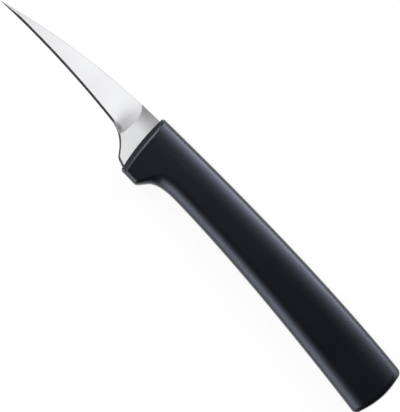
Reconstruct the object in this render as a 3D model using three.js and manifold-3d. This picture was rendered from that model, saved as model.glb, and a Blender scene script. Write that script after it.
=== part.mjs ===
// Decorating knife: a ground bird's-beak blade on a hidden tang, with a one-piece moulded handle.
// Millimetres. +X runs from the tip to the butt, +Y from the cutting edge to the spine, +Z up.
// The knife lies on its side, and the origin is under the middle of its box.
import * as THREE from "three";
import { mergeVertices } from "three/addons/utils/BufferGeometryUtils.js";
import Module from "manifold-3d";

const wasm = await Module();
wasm.setup();

// Driving dimensions
// X is counted from the handle's front face, minus towards the tip and plus towards the butt.
// Y is counted from the level of the tip, plus towards the spine.

// Blade outline
const BLADE_LENGTH = 65.3; // front face to tip
const TIP_BLUNT = 0.12; // height and thickness of the very tip
const SPINE_HEIGHT = 9.98; // spine above the tip, where it enters the handle
const SPINE_BOW = 2.15; // rise of the spine above its chord
const HEEL_SETBACK = 12.35; // end of the edge's long curve, in front of the handle
const HEEL_DROP = 1.1; // edge below the tip there
const EDGE_HOLLOW = 0.95; // rise of the concave edge above its chord
const FOOT_SETBACK = 1.24; // corner of the neck's foot, in front of the handle
const FOOT_DROP = 8.24; // corner of the neck's foot, below the tip
const NECK_SLOPE = THREE.MathUtils.degToRad(50.7); // fall of the neck from heel to foot
const FOOT_SLOPE = THREE.MathUtils.degToRad(17.5); // fall of the foot towards the handle
const FOOT_BLEND = 0.8; // length of the round at the foot, along each side of its corner
const FOOT_LENGTH = 3; // from that corner to where the lower edge runs level into the handle

// Blade grind
const NECK_THICKNESS = 2.4;
const NECK_RELIEF = 0.26; // each face of the neck falls away by this at the spine
const NECK_RELIEF_HEIGHT = 6.5; // height of that relief, down from the spine
const NECK_EDGE_BREAK = 0.21; // eased corner along the neck's lower edge, on each face
const SPINE_THICKNESS = 1.5; // ground blade at the spine, by the neck
const TIP_THICKNESS = 0.5; // ground blade at the spine, near the tip
const SHOULDER_THICKNESS = 0.5; // ground blade just above the sharpened bevel
const BEVEL_WIDTH = 0.85; // sharpened bevel along the edge
const BEVEL_SHARE = 0.42; // most of the blade's height that it takes, by the tip
const EDGE_LAND = 0.06; // thickness of the cutting edge itself
const PLUNGE_SETBACK = 6.05; // end of the grind, in front of the handle
const PLUNGE_RAMP = 6.5; // length of the run-out that the grinding wheel leaves
const HEEL_RAMP = 5; // the same at the cutting edge, where it is shorter
const CREST_FULL = 0.2; // share of the height above which the run-out ends in a crest, not a fade
const PLUNGE_SPINE_SWEEP = 2.45; // the run-out curves this far towards the tip at the spine
const PLUNGE_EDGE_SWEEP = 0.8; // and this far at the edge
const PLUNGE_PIVOT = 0.43; // share of the blade's height where the run-out lies furthest back

// Tang
const NECK_SEAT = 3.6; // depth of the full-height neck behind the handle's front face
const TANG_LENGTH = 68; // front face to the end of the tang
const TANG_HEIGHT = 9.5; // at the neck
const TANG_END_HEIGHT = 7.5;
const TANG_SHOULDER_RADIUS = 1.2;
const ANCHOR_HOLES = 3;
const ANCHOR_DIAMETER = 5;
const ANCHOR_FIRST = 19; // front face to the first hole
const ANCHOR_PITCH = 19;
const TANG_CLEARANCE = 0.2; // gap between steel and moulding, all round

// Handle outline
const HANDLE_LENGTH = 114.9; // front face to butt
const FRONT_TOP = 11.57; // back of the handle above the tip, at the front
const FRONT_LEAN = THREE.MathUtils.degToRad(6.3); // the front face leans towards the tip at its top
const FRONT_CROWN = 0.75; // bulge of the front face, seen from the side
const FRONT_ROUND = 1.75; // bulge of the front face, seen from above, gone at the guard's end
const BACK_TURN_X = 71; // where the tangents at the two ends of the back meet
const BACK_TURN_Y = 13.8;
const BUTT_TOP = 9.65;
const BUTT_BOTTOM = -10.9;
const BUTT_LEAN = THREE.MathUtils.degToRad(2); // the butt reaches further at its top
const BUTT_CROWN = 1.39; // bulge of the butt, seen from the side
const BUTT_ROUND = 0.8; // bulge of the butt, seen from above
const GUARD_DROP = 10.3; // finger guard's flat, below the tip
const GUARD_END = 9.05; // front face to the guard's rear corner
const GUARD_CORNER = 1.2; // length of the round at that corner, along each side
const GUARD_SLOPE = THREE.MathUtils.degToRad(52); // rise of the finger recess behind the guard
const BELLY_DROP = 4.37; // slimmest part of the belly, below the tip
const RECESS_BLEND = 3.6; // length of the hollow between guard and belly, along the guard's slope
const RECESS_RUN = 8; // and along the belly
const BELLY_TURN_X = 56; // where the belly's two tangents meet

// Handle section
const BODY_THICKNESS = 13;
const FRONT_THICKNESS = 12.4;
const TAPER_END = 30; // full thickness starts here
const BACK_RISE = 7; // elliptical corner between the side and the back: height
const BACK_DEPTH = 3.5; // and depth
const BELLY_RISE = 4.5; // the same between the side and the belly
const BELLY_DEPTH = 2.8;
const CROWN = 0.3; // back and belly are this much higher in the middle
const GUARD_EDGE = 1.6; // edge radius along the guard's flat
const FRONT_CHAMFER = 0.7; // chamfer round the front face: length along the handle
const FRONT_CHAMFER_DROP = 0.57; // and depth into its sides
const BUTT_EDGE = 2; // edge radius round the butt
const LEAST_EDGE = 0.1; // what an edge radius keeps where another one eats into it

// Facets
const CURVE_STEPS = 40; // steps along each curve of an outline
const FACE_STEPS = 9; // steps across each face of the blade
const EDGE_STEPS = 4; // steps round the handle's edge at the butt
const CORNER_STEPS = 7; // steps round each long corner of the handle
const LAND_STEPS = 4; // steps across the flat land between two corners
const HOLE_STEPS = 20; // steps round each anchor hole
const BLADE_ROWS = { tip: 5, face: 18, plunge: 12, neck: 12 }; // cross lines along each stretch
const HANDLE_ROWS = { guard: 3, recess: 16, front: 4, grip: 10 };
const SEAT_ROWS = 8; // cross lines of the cut for the neck
const TIP_STRETCH = 3.4; // length at the tip with closer cross lines
const MERGE_DISTANCE = 1e-4; // corners closer than this are one

const { lerp, clamp, smoothstep } = THREE.MathUtils;

// Geometry helpers

// Index list without the triangles that lost a corner when vertices were merged.
function withoutCollapsed(geometry) {
  const kept = [];
  const corners = geometry.index.array;
  for (let i = 0; i < corners.length; i += 3) {
    const [a, b, c] = corners.subarray(i, i + 3);
    if (a !== b && b !== c && c !== a) kept.push(a, b, c);
  }
  return kept;
}

function toSolid(geometry) {
  const bare = geometry.clone();
  bare.deleteAttribute("normal");
  bare.deleteAttribute("uv");
  const merged = mergeVertices(bare, MERGE_DISTANCE);
  return new wasm.Manifold(
    new wasm.Mesh({
      numProp: 3,
      vertProperties: merged.getAttribute("position").array,
      triVerts: new Uint32Array(withoutCollapsed(merged)),
    }),
  );
}

function toGeometry(solid) {
  const { vertProperties, triVerts } = solid.getMesh();
  const geometry = new THREE.BufferGeometry();
  geometry.setAttribute("position", new THREE.BufferAttribute(vertProperties, 3));
  geometry.setIndex(new THREE.BufferAttribute(triVerts, 1));
  const faceted = geometry.toNonIndexed();
  faceted.computeVertexNormals();
  return faceted;
}

// Skin over a row of rings that run up the +Z side and back down the -Z side.
// Each end is closed by strips between the two sides.
function loft(rings) {
  const size = rings[0].length;
  const triangles = [];
  const quad = (a, b, c, d) => triangles.push(a, b, c, a, c, d);
  for (let r = 0; r + 1 < rings.length; r++) {
    for (let i = 0; i < size; i++) {
      const j = (i + 1) % size;
      quad(r * size + i, (r + 1) * size + i, (r + 1) * size + j, r * size + j);
    }
  }
  const last = (rings.length - 1) * size;
  for (let i = 0; i + 1 < size / 2; i++) {
    const k = size - 1 - i;
    quad(i, i + 1, k - 1, k);
    quad(last + k, last + k - 1, last + i + 1, last + i);
  }
  const geometry = new THREE.BufferGeometry().setFromPoints(rings.flat());
  geometry.setIndex(triangles);
  return geometry;
}

// Height of an outline that never turns back in X.
function railHeight(path) {
  const points = path.getPoints(CURVE_STEPS);
  return (x) => {
    let i = 1;
    while (i < points.length - 1 && points[i].x < x) i++;
    const [a, b] = [points[i - 1], points[i]];
    return lerp(a.y, b.y, (x - a.x) / (b.x - a.x));
  };
}

// Point where two lines meet.
function meet(p, direction, q, otherDirection) {
  const along = q.clone().sub(p).cross(otherDirection) / direction.cross(otherDirection);
  return p.clone().addScaledVector(direction, along);
}

// Control point that bows a curve off its chord.
function bowed(from, to, rise) {
  const chord = to.clone().sub(from).normalize();
  const normal = new THREE.Vector2(-chord.y, chord.x);
  return from.clone().add(to).multiplyScalar(0.5).addScaledVector(normal, 2 * rise);
}

const point = (x, y) => new THREE.Vector2(x, y);
const falling = (angle) => point(Math.cos(angle), -Math.sin(angle));
const curveTo = (path, control, end) => path.quadraticCurveTo(control.x, control.y, end.x, end.y);
const lineTo = (path, end) => path.lineTo(end.x, end.y);

// Blade

function spinePath() {
  const tip = point(-BLADE_LENGTH, TIP_BLUNT / 2);
  const front = point(0, SPINE_HEIGHT);
  const path = new THREE.Path().moveTo(tip.x, tip.y);
  curveTo(path, bowed(tip, front, SPINE_BOW), front);
  return lineTo(path, point(NECK_SEAT + TANG_CLEARANCE, SPINE_HEIGHT));
}

// Concave cutting edge, heel, sloping neck and foot, from the tip to behind the front face.
function edgePath() {
  const tip = point(-BLADE_LENGTH, -TIP_BLUNT / 2);
  const heel = point(-HEEL_SETBACK, -HEEL_DROP);
  const foot = point(-FOOT_SETBACK, -FOOT_DROP);
  const slope = falling(NECK_SLOPE);
  const seat = falling(FOOT_SLOPE);
  const hollow = bowed(tip, heel, EDGE_HOLLOW);
  const corner = meet(heel, heel.clone().sub(hollow), foot, slope);
  const blend = Math.min(corner.distanceTo(heel), corner.distanceTo(foot) - FOOT_BLEND);
  const path = new THREE.Path().moveTo(tip.x, tip.y);
  curveTo(path, hollow, heel);
  curveTo(path, corner, corner.clone().addScaledVector(slope, blend));
  lineTo(path, foot.clone().addScaledVector(slope, -FOOT_BLEND));
  curveTo(path, foot, foot.clone().addScaledVector(seat, FOOT_BLEND));
  const level = foot.clone().addScaledVector(seat, FOOT_LENGTH);
  lineTo(path, level);
  return lineTo(path, point(Math.max(NECK_SEAT, level.x) + TANG_CLEARANCE, level.y));
}

const spineAt = railHeight(spinePath());
const edgeAt = railHeight(edgePath());

// The run-out of the grind is a curved line, and the cross lines of the blade follow it there.
function plungeSweep(share) {
  const above = Math.max(0, (share - PLUNGE_PIVOT) / (1 - PLUNGE_PIVOT));
  const below = Math.max(0, (PLUNGE_PIVOT - share) / PLUNGE_PIVOT);
  return -PLUNGE_SPINE_SWEEP * above ** 3 - PLUNGE_EDGE_SWEEP * below ** 3;
}

function sweepWeight(station) {
  const rise = smoothstep(station, -BLADE_LENGTH / 2, -PLUNGE_SETBACK - PLUNGE_RAMP);
  const fall = smoothstep(station, -PLUNGE_SETBACK, 0);
  return rise * (1 - fall);
}

// Half thickness of the steel at a share of its height, from the edge to the spine.
function steelHalf(station, x, share, height, bevelShare) {
  const ramp = lerp(HEEL_RAMP, PLUNGE_RAMP, smoothstep(share, 0, PLUNGE_PIVOT));
  const run = clamp((station + PLUNGE_SETBACK + ramp) / ramp, 0, 1);
  const runOut = run ** 2 * lerp(3 - 2 * run, 1, smoothstep(share, 0, CREST_FULL));
  const upper = Math.max(1 - ((1 - share) * height) / NECK_RELIEF_HEIGHT, 0);
  const relief = upper ** 2 * NECK_RELIEF;
  const neck = NECK_THICKNESS / 2 - (share === 0 ? NECK_EDGE_BREAK : relief);
  const taper = clamp((x + BLADE_LENGTH) / (BLADE_LENGTH - PLUNGE_SETBACK), 0, 1);
  const spine = Math.min(lerp(TIP_THICKNESS, SPINE_THICKNESS, taper), height) / 2;
  const bevel = Math.min((bevelShare * height) / BEVEL_WIDTH, 1);
  const shoulder = lerp(EDGE_LAND, SHOULDER_THICKNESS, bevel) / 2;
  const above = (share - bevelShare) / (1 - bevelShare);
  const ground = share === 0 ? EDGE_LAND / 2 : lerp(shoulder, spine, above);
  return lerp(ground, neck, runOut);
}

// One closed cross line of the blade, grown outwards where it is used to cut its seat.
function bladeRing(station, grow = 0) {
  const tall = spineAt(station) - edgeAt(station);
  const bevelShare = Math.min(BEVEL_WIDTH / tall, BEVEL_SHARE);
  const side = [];
  for (let i = 0; i <= FACE_STEPS; i++) {
    const share = i === 0 ? 0 : lerp(bevelShare, 1, (i - 1) / (FACE_STEPS - 1));
    const x = station + plungeSweep(share) * sweepWeight(station);
    const [low, high] = [edgeAt(x) - grow, spineAt(x) + grow];
    const half = steelHalf(station, x, share, high - low, bevelShare) + grow;
    side.push(new THREE.Vector3(x, lerp(low, high, share), half));
  }
  const back = side.map((p) => new THREE.Vector3(p.x, p.y, -p.z)).reverse();
  return [...side, ...back];
}

// Stations from one X to another, a step apart.
function stations(from, to, count) {
  return Array.from({ length: count }, (_, i) => lerp(from, to, i / count));
}

// The tang's side outline with its anchor holes, grown outwards where it is used to cut its socket.
function tangShape(axisY, grow = 0) {
  const start = NECK_SEAT - TANG_SHOULDER_RADIUS;
  const end = TANG_LENGTH + grow;
  const top = axisY + TANG_HEIGHT / 2 + grow;
  const low = axisY - TANG_HEIGHT / 2 - grow;
  const round = TANG_END_HEIGHT / 2 + grow;
  const shoulder = TANG_SHOULDER_RADIUS - grow;
  const root = NECK_SEAT + grow;
  const shape = new THREE.Shape();
  shape.moveTo(start, low - shoulder);
  shape.lineTo(root, low - shoulder);
  shape.absarc(root + shoulder, low - shoulder, shoulder, Math.PI, Math.PI / 2, true);
  shape.lineTo(end - round, axisY - round);
  shape.absarc(end - round, axisY, round, -Math.PI / 2, Math.PI / 2, false);
  shape.lineTo(root + shoulder, top);
  shape.absarc(root + shoulder, top + shoulder, shoulder, -Math.PI / 2, -Math.PI, true);
  shape.lineTo(start, top + shoulder);
  shape.closePath();
  for (let i = 0; i < ANCHOR_HOLES; i++) {
    const x = ANCHOR_FIRST + i * ANCHOR_PITCH;
    const hole = new THREE.Path().absarc(x, axisY, ANCHOR_DIAMETER / 2 - grow, 0, 2 * Math.PI, true);
    shape.holes.push(hole);
  }
  return shape;
}

function tangSolid(axisY, grow = 0) {
  const depth = NECK_THICKNESS + 2 * grow;
  const geometry = new THREE.ExtrudeGeometry(tangShape(axisY, grow), {
    depth,
    bevelEnabled: false,
    curveSegments: HOLE_STEPS,
  });
  return toSolid(geometry.translate(0, 0, -depth / 2));
}

// Blade, neck and tang are one piece of steel.
function bladeGeometry(tangAxis) {
  const plungeStart = -PLUNGE_SETBACK - PLUNGE_RAMP;
  const rows = [
    ...stations(-BLADE_LENGTH, -BLADE_LENGTH + TIP_STRETCH, BLADE_ROWS.tip),
    ...stations(-BLADE_LENGTH + TIP_STRETCH, plungeStart, BLADE_ROWS.face),
    ...stations(plungeStart, -PLUNGE_SETBACK, BLADE_ROWS.plunge),
    ...stations(-PLUNGE_SETBACK, NECK_SEAT, BLADE_ROWS.neck),
    NECK_SEAT,
  ];
  const blade = toSolid(loft(rows.map((x) => bladeRing(x))));
  return toGeometry(blade.add(tangSolid(tangAxis)));
}

// Handle

function backPath() {
  const path = new THREE.Path().moveTo(0, FRONT_TOP);
  curveTo(path, point(BACK_TURN_X, BACK_TURN_Y), point(HANDLE_LENGTH, BUTT_TOP));
  return path;
}

// Finger guard, recess and belly, from the front face to the butt.
function bellyPath() {
  const rise = point(Math.cos(GUARD_SLOPE), Math.sin(GUARD_SLOPE));
  const guard = point(GUARD_END, -GUARD_DROP);
  const recess = meet(guard, rise, point(0, -BELLY_DROP), point(1, 0));
  const path = new THREE.Path().moveTo(0, -GUARD_DROP);
  lineTo(path, point(GUARD_END - GUARD_CORNER, -GUARD_DROP));
  curveTo(path, guard, guard.clone().addScaledVector(rise, GUARD_CORNER));
  lineTo(path, recess.clone().addScaledVector(rise, -RECESS_BLEND));
  curveTo(path, recess, point(recess.x + RECESS_RUN, -BELLY_DROP));
  curveTo(path, point(BELLY_TURN_X, -BELLY_DROP), point(HANDLE_LENGTH, BUTT_BOTTOM));
  return path;
}

const backAt = railHeight(backPath());
const bellyAt = railHeight(bellyPath());

// X of the two end faces at a share of the height, from -1 at the belly to 1 at the back,
// and at a share of the thickness, from -1 to 1.
function frontX(share, sideShare) {
  const y = lerp(-GUARD_DROP, FRONT_TOP, (share + 1) / 2);
  return FRONT_CROWN * share ** 2 + FRONT_ROUND * sideShare ** 2 - Math.tan(FRONT_LEAN) * y;
}

function buttX(share, sideShare) {
  const lean = Math.tan(BUTT_LEAN) * lerp(BUTT_BOTTOM, BUTT_TOP, (share + 1) / 2);
  return HANDLE_LENGTH - BUTT_CROWN * share ** 2 - BUTT_ROUND * sideShare ** 2 + lean;
}

// Right half of a handle section, as [y, z] from the middle of the belly to the middle of the back.
function halfSection(low, top, half, lowCorner, topCorner) {
  const outline = [[low, 0]];
  for (let i = 0; i <= CORNER_STEPS; i++) {
    const angle = ((i / CORNER_STEPS) * Math.PI) / 2;
    const y = low + CROWN + lowCorner.rise * (1 - Math.cos(angle));
    outline.push([y, half - lowCorner.depth * (1 - Math.sin(angle))]);
  }
  const landLow = low + CROWN + lowCorner.rise;
  const landTop = top - CROWN - topCorner.rise;
  for (let i = 1; i < LAND_STEPS; i++) outline.push([lerp(landLow, landTop, i / LAND_STEPS), half]);
  for (let i = 0; i <= CORNER_STEPS; i++) {
    const angle = ((i / CORNER_STEPS) * Math.PI) / 2;
    const y = top - CROWN - topCorner.rise * (1 - Math.sin(angle));
    outline.push([y, half - topCorner.depth * (1 - Math.cos(angle))]);
  }
  return [...outline, [top, 0]];
}

// One closed cross line of the handle, at a share of its length and drawn in by an inset.
// flatten squeezes its two sides together, to close an end.
function handleRing(along, inset = 0, flatten = 1) {
  const backX = lerp(frontX(1, 0), buttX(1, 0), along);
  const bellyX = lerp(frontX(-1, 0), buttX(-1, 0), along);
  const [low, top] = [bellyAt(bellyX) + inset, backAt(backX) - inset];
  const half = lerp(FRONT_THICKNESS, BODY_THICKNESS, smoothstep(bellyX, 0, TAPER_END)) / 2 - inset;
  const belly = smoothstep(bellyX, GUARD_END - GUARD_CORNER, GUARD_END + GUARD_DROP - BELLY_DROP);
  const drawn = (radius) => Math.max(radius - inset, LEAST_EDGE);
  const lowCorner = {
    rise: drawn(lerp(GUARD_EDGE, BELLY_RISE, belly)),
    depth: drawn(lerp(GUARD_EDGE, BELLY_DEPTH, belly)),
  };
  const topCorner = { rise: drawn(BACK_RISE), depth: drawn(BACK_DEPTH) };
  const bulge = 1 - smoothstep(along * HANDLE_LENGTH, 0, GUARD_END);
  const side = halfSection(low, top, half, lowCorner, topCorner).map(([y, z]) => {
    const share = (2 * (y - low)) / (top - low) - 1;
    const sideShare = (flatten * z) / half;
    const x = lerp(frontX(share, bulge * sideShare), buttX(share, sideShare), along);
    return new THREE.Vector3(x, y, flatten * z);
  });
  const back = side.map((p) => new THREE.Vector3(p.x, p.y, -p.z)).reverse();
  return [...side, ...back];
}

// Squeezed rings that close a bulging end face.
const END_SQUEEZE = [2 / 3, 1 / 3, 0];

function handleSolid() {
  const [first, last] = [frontX(-1, 0), buttX(-1, 0)];
  const recessStart = GUARD_END - GUARD_CORNER;
  const recessEnd = GUARD_END + (GUARD_DROP - BELLY_DROP) / Math.tan(GUARD_SLOPE) + RECESS_RUN;
  const rings = END_SQUEEZE.toReversed().map((flatten) => handleRing(0, FRONT_CHAMFER_DROP, flatten));
  rings.push(handleRing(0, FRONT_CHAMFER_DROP));
  rings.push(handleRing(FRONT_CHAMFER / HANDLE_LENGTH));
  const rows = [
    ...stations(first + 2 * FRONT_CHAMFER, recessStart, HANDLE_ROWS.guard),
    ...stations(recessStart, recessEnd, HANDLE_ROWS.recess),
    ...stations(recessEnd, TAPER_END, HANDLE_ROWS.front),
    ...stations(TAPER_END, last - 2 * BUTT_EDGE, HANDLE_ROWS.grip),
  ];
  rings.push(...rows.map((x) => handleRing((x - first) / (last - first))));
  for (let i = 0; i <= EDGE_STEPS; i++) {
    const angle = ((i / EDGE_STEPS) * Math.PI) / 2;
    const depth = BUTT_EDGE * (1 - Math.sin(angle));
    rings.push(handleRing(1 - depth / HANDLE_LENGTH, BUTT_EDGE * (1 - Math.cos(angle))));
  }
  rings.push(...END_SQUEEZE.map((flatten) => handleRing(1, BUTT_EDGE, flatten)));
  return toSolid(loft(rings));
}

// The moulding closes round the tang and keys through its anchor holes.
function handleGeometry(tangAxis) {
  const entry = [...stations(-PLUNGE_SETBACK / 2, NECK_SEAT, SEAT_ROWS), NECK_SEAT + TANG_CLEARANCE];
  const neckSeat = toSolid(loft(entry.map((x) => bladeRing(x, TANG_CLEARANCE))));
  const socket = tangSolid(tangAxis, TANG_CLEARANCE);
  return toGeometry(handleSolid().subtract(neckSeat.add(socket)));
}

// Assembly

const steel = new THREE.MeshStandardMaterial({ color: 0xd9dadc, roughness: 0.32, metalness: 1 });
const polypropylene = new THREE.MeshStandardMaterial({ color: 0x1c1e24, roughness: 0.45, metalness: 0 });

function named(name, geometry, material) {
  const mesh = new THREE.Mesh(geometry, material);
  mesh.name = name;
  return mesh;
}

// The tang runs midway between the back and the belly where the handle is slimmest.
const slimmest = (GUARD_END + BELLY_TURN_X) / 2;
const tangAxis = (backAt(slimmest) + bellyAt(slimmest)) / 2;

const lying = new THREE.Group();
lying.add(named("blade_with_tang", bladeGeometry(tangAxis), steel));
lying.add(named("moulded_handle", handleGeometry(tangAxis), polypropylene));
const box = new THREE.Box3().setFromObject(lying);
const middle = box.getCenter(new THREE.Vector3());
lying.position.set(-middle.x, -middle.y, -box.min.z);

const knife = new THREE.Group();
knife.add(lying);

export default knife;
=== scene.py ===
import math
from functools import partial

import bpy
import numpy as np
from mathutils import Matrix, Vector


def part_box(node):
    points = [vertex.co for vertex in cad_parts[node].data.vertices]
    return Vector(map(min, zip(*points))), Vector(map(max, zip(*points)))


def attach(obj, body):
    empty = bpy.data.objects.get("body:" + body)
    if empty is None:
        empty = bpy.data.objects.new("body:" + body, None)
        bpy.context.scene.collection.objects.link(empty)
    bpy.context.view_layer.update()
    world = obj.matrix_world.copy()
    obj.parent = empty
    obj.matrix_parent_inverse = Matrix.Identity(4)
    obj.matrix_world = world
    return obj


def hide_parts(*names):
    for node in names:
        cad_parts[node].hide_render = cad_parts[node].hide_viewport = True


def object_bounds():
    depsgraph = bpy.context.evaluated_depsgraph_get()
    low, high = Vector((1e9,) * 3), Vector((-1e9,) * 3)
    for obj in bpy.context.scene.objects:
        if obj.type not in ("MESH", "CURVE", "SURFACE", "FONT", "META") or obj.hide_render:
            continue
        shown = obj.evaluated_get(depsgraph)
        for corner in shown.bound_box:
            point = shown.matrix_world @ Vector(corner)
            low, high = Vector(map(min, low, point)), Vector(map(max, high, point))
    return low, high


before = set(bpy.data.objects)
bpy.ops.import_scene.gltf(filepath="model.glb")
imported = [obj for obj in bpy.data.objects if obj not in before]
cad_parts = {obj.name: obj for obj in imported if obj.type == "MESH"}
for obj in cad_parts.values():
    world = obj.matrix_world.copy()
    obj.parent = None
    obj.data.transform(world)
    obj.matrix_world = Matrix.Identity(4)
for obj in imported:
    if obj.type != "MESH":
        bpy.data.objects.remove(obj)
cad_low, cad_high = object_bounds()

# Sizes of the knife in millimetres, the same as the CAD part's.
# The few that the scene alone has are marked as the scene's own.
# X is counted from the handle's front face, minus to the tip and plus to the butt.
# Y is counted from the level of the tip, plus to the spine. Z is counted from the plane of the blade.
MM = 0.001
QUARTER = math.pi / 2

# Blade outline
BLADE_LENGTH = 65.3
TIP_BLUNT = 0.12
SPINE_HEIGHT = 9.98
SPINE_BOW = 2.15
HEEL_SETBACK = 12.35
HEEL_DROP = 1.1
EDGE_HOLLOW = 0.95
FOOT_SETBACK = 1.24
FOOT_DROP = 8.24
NECK_SLOPE = math.radians(50.7)
FOOT_SLOPE = math.radians(17.5)
FOOT_BLEND = 0.8
FOOT_LENGTH = 3.0

# Blade grind
NECK_THICKNESS = 2.4
NECK_RELIEF = 0.26
NECK_RELIEF_HEIGHT = 6.5
NECK_EDGE_BREAK = 0.21
SPINE_THICKNESS = 1.5
TIP_THICKNESS = 0.5
SHOULDER_THICKNESS = 0.5
BEVEL_WIDTH = 0.85
BEVEL_SHARE = 0.42
EDGE_LAND = 0.06
FACE_LEAN = 0.065  # the scene's own: most that a face leans, so that the tip stays thin
PLUNGE_SETBACK = 6.05
PLUNGE_RAMP = 6.5
HEEL_RAMP = 5.0
CREST_FULL = 0.2
PLUNGE_SPINE_SWEEP = 2.45
PLUNGE_EDGE_SWEEP = 0.8
PLUNGE_PIVOT = 0.43

# Tang
NECK_SEAT = 3.6
TANG_LENGTH = 68.0
TANG_HEIGHT = 9.5
TANG_END_HEIGHT = 7.5
TANG_SHOULDER_RADIUS = 1.2
ANCHOR_HOLES = 3
ANCHOR_DIAMETER = 5.0
ANCHOR_FIRST = 19.0
ANCHOR_PITCH = 19.0
TANG_CLEARANCE = 0.2

# Handle, by the names of its loft's inputs
HANDLE = {
    "Handle Length": 114.9,
    "Front Top": 11.57,
    "Front Lean": math.radians(6.3),
    "Front Crown": 0.75,
    "Front Round": 1.75,
    "Back Turn X": 71.0,
    "Back Turn Y": 13.8,
    "Butt Top": 9.65,
    "Butt Bottom": -10.9,
    "Butt Lean": math.radians(2),
    "Butt Crown": 1.39,
    "Butt Round": 0.8,
    "Guard Drop": 10.3,
    "Guard End": 9.05,
    "Guard Corner": 1.2,
    "Guard Slope": math.radians(52),
    "Belly Drop": 4.37,
    "Recess Blend": 3.6,
    "Recess Run": 8.0,
    "Belly Turn X": 56.0,
    "Body Thickness": 13.0,
    "Front Thickness": 12.4,
    "Taper End": 30.0,
    "Back Rise": 7.0,
    "Back Rise Butt": 8.4,  # the scene's own
    "Back Depth": 3.5,
    "Belly Rise": 4.5,
    "Belly Rise Butt": 5.6,  # the scene's own
    "Belly Depth": 2.8,
    "Crown": 0.3,
    "Guard Edge": 1.6,
    "Front Chamfer": 0.7,
    "Front Chamfer Drop": 0.57,
    "Butt Edge": 2.0,
    "Butt Side Edge": 0.4,  # the scene's own
}

# The CAD frame's origin, counted in the sizes above: the tip and the tang's side give it.
steel_low, steel_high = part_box("blade_with_tang")
ORIGIN = Vector((
    steel_low.x + BLADE_LENGTH * MM,
    steel_high.y - SPINE_HEIGHT * MM,
    (steel_low.z + steel_high.z) / 2,
))


# Helpers


def add(tree, kind, links=None, **settings):
    """Adds one node with its settings. links gives each input a socket to read or a plain value."""
    node = tree.nodes.new(kind)
    for name, value in settings.items():
        setattr(node, name, value)
    for name, source in (links or {}).items():
        if isinstance(source, bpy.types.NodeSocket):
            tree.links.new(source, node.inputs[name])
        else:
            node.inputs[name].default_value = source
    return node.outputs[0] if node.outputs else None


def linear(hex_colour):
    """Linear RGBA of an sRGB hex value."""
    shares = [int(hex_colour[i:i + 2], 16) / 255 for i in (1, 3, 5)]
    return (*(s / 12.92 if s <= 0.04045 else ((s + 0.055) / 1.055) ** 2.4 for s in shares), 1.0)


def smooth(value, low, high):
    """Smooth step from 0 at low to 1 at high."""
    share = np.clip((value - low) / (high - low), 0, 1)
    return share * share * (3 - 2 * share)


def mix(a, b, share):
    return a + (b - a) * share


def shown(name, mesh):
    """New object for a mesh, at the origin."""
    made = bpy.data.objects.new(name, mesh)
    bpy.context.scene.collection.objects.link(made)
    return made


def evaluated_mesh(piece, name):
    """Plain mesh of an object as its modifiers leave it."""
    graph = bpy.context.evaluated_depsgraph_get()
    mesh = bpy.data.meshes.new_from_object(piece.evaluated_get(graph))
    mesh.name = name
    return mesh


def cut_out(piece, tool):
    """Cuts the tool's solid out of a piece and removes the tool."""
    cut = piece.modifiers.new("cut", "BOOLEAN")
    cut.operation = "DIFFERENCE"
    cut.solver = "EXACT"
    cut.object = tool
    whole = piece.data
    piece.data = evaluated_mesh(piece, piece.name)
    piece.modifiers.remove(cut)
    bpy.data.meshes.remove(whole)
    bpy.data.objects.remove(tool)


# Materials


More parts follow.
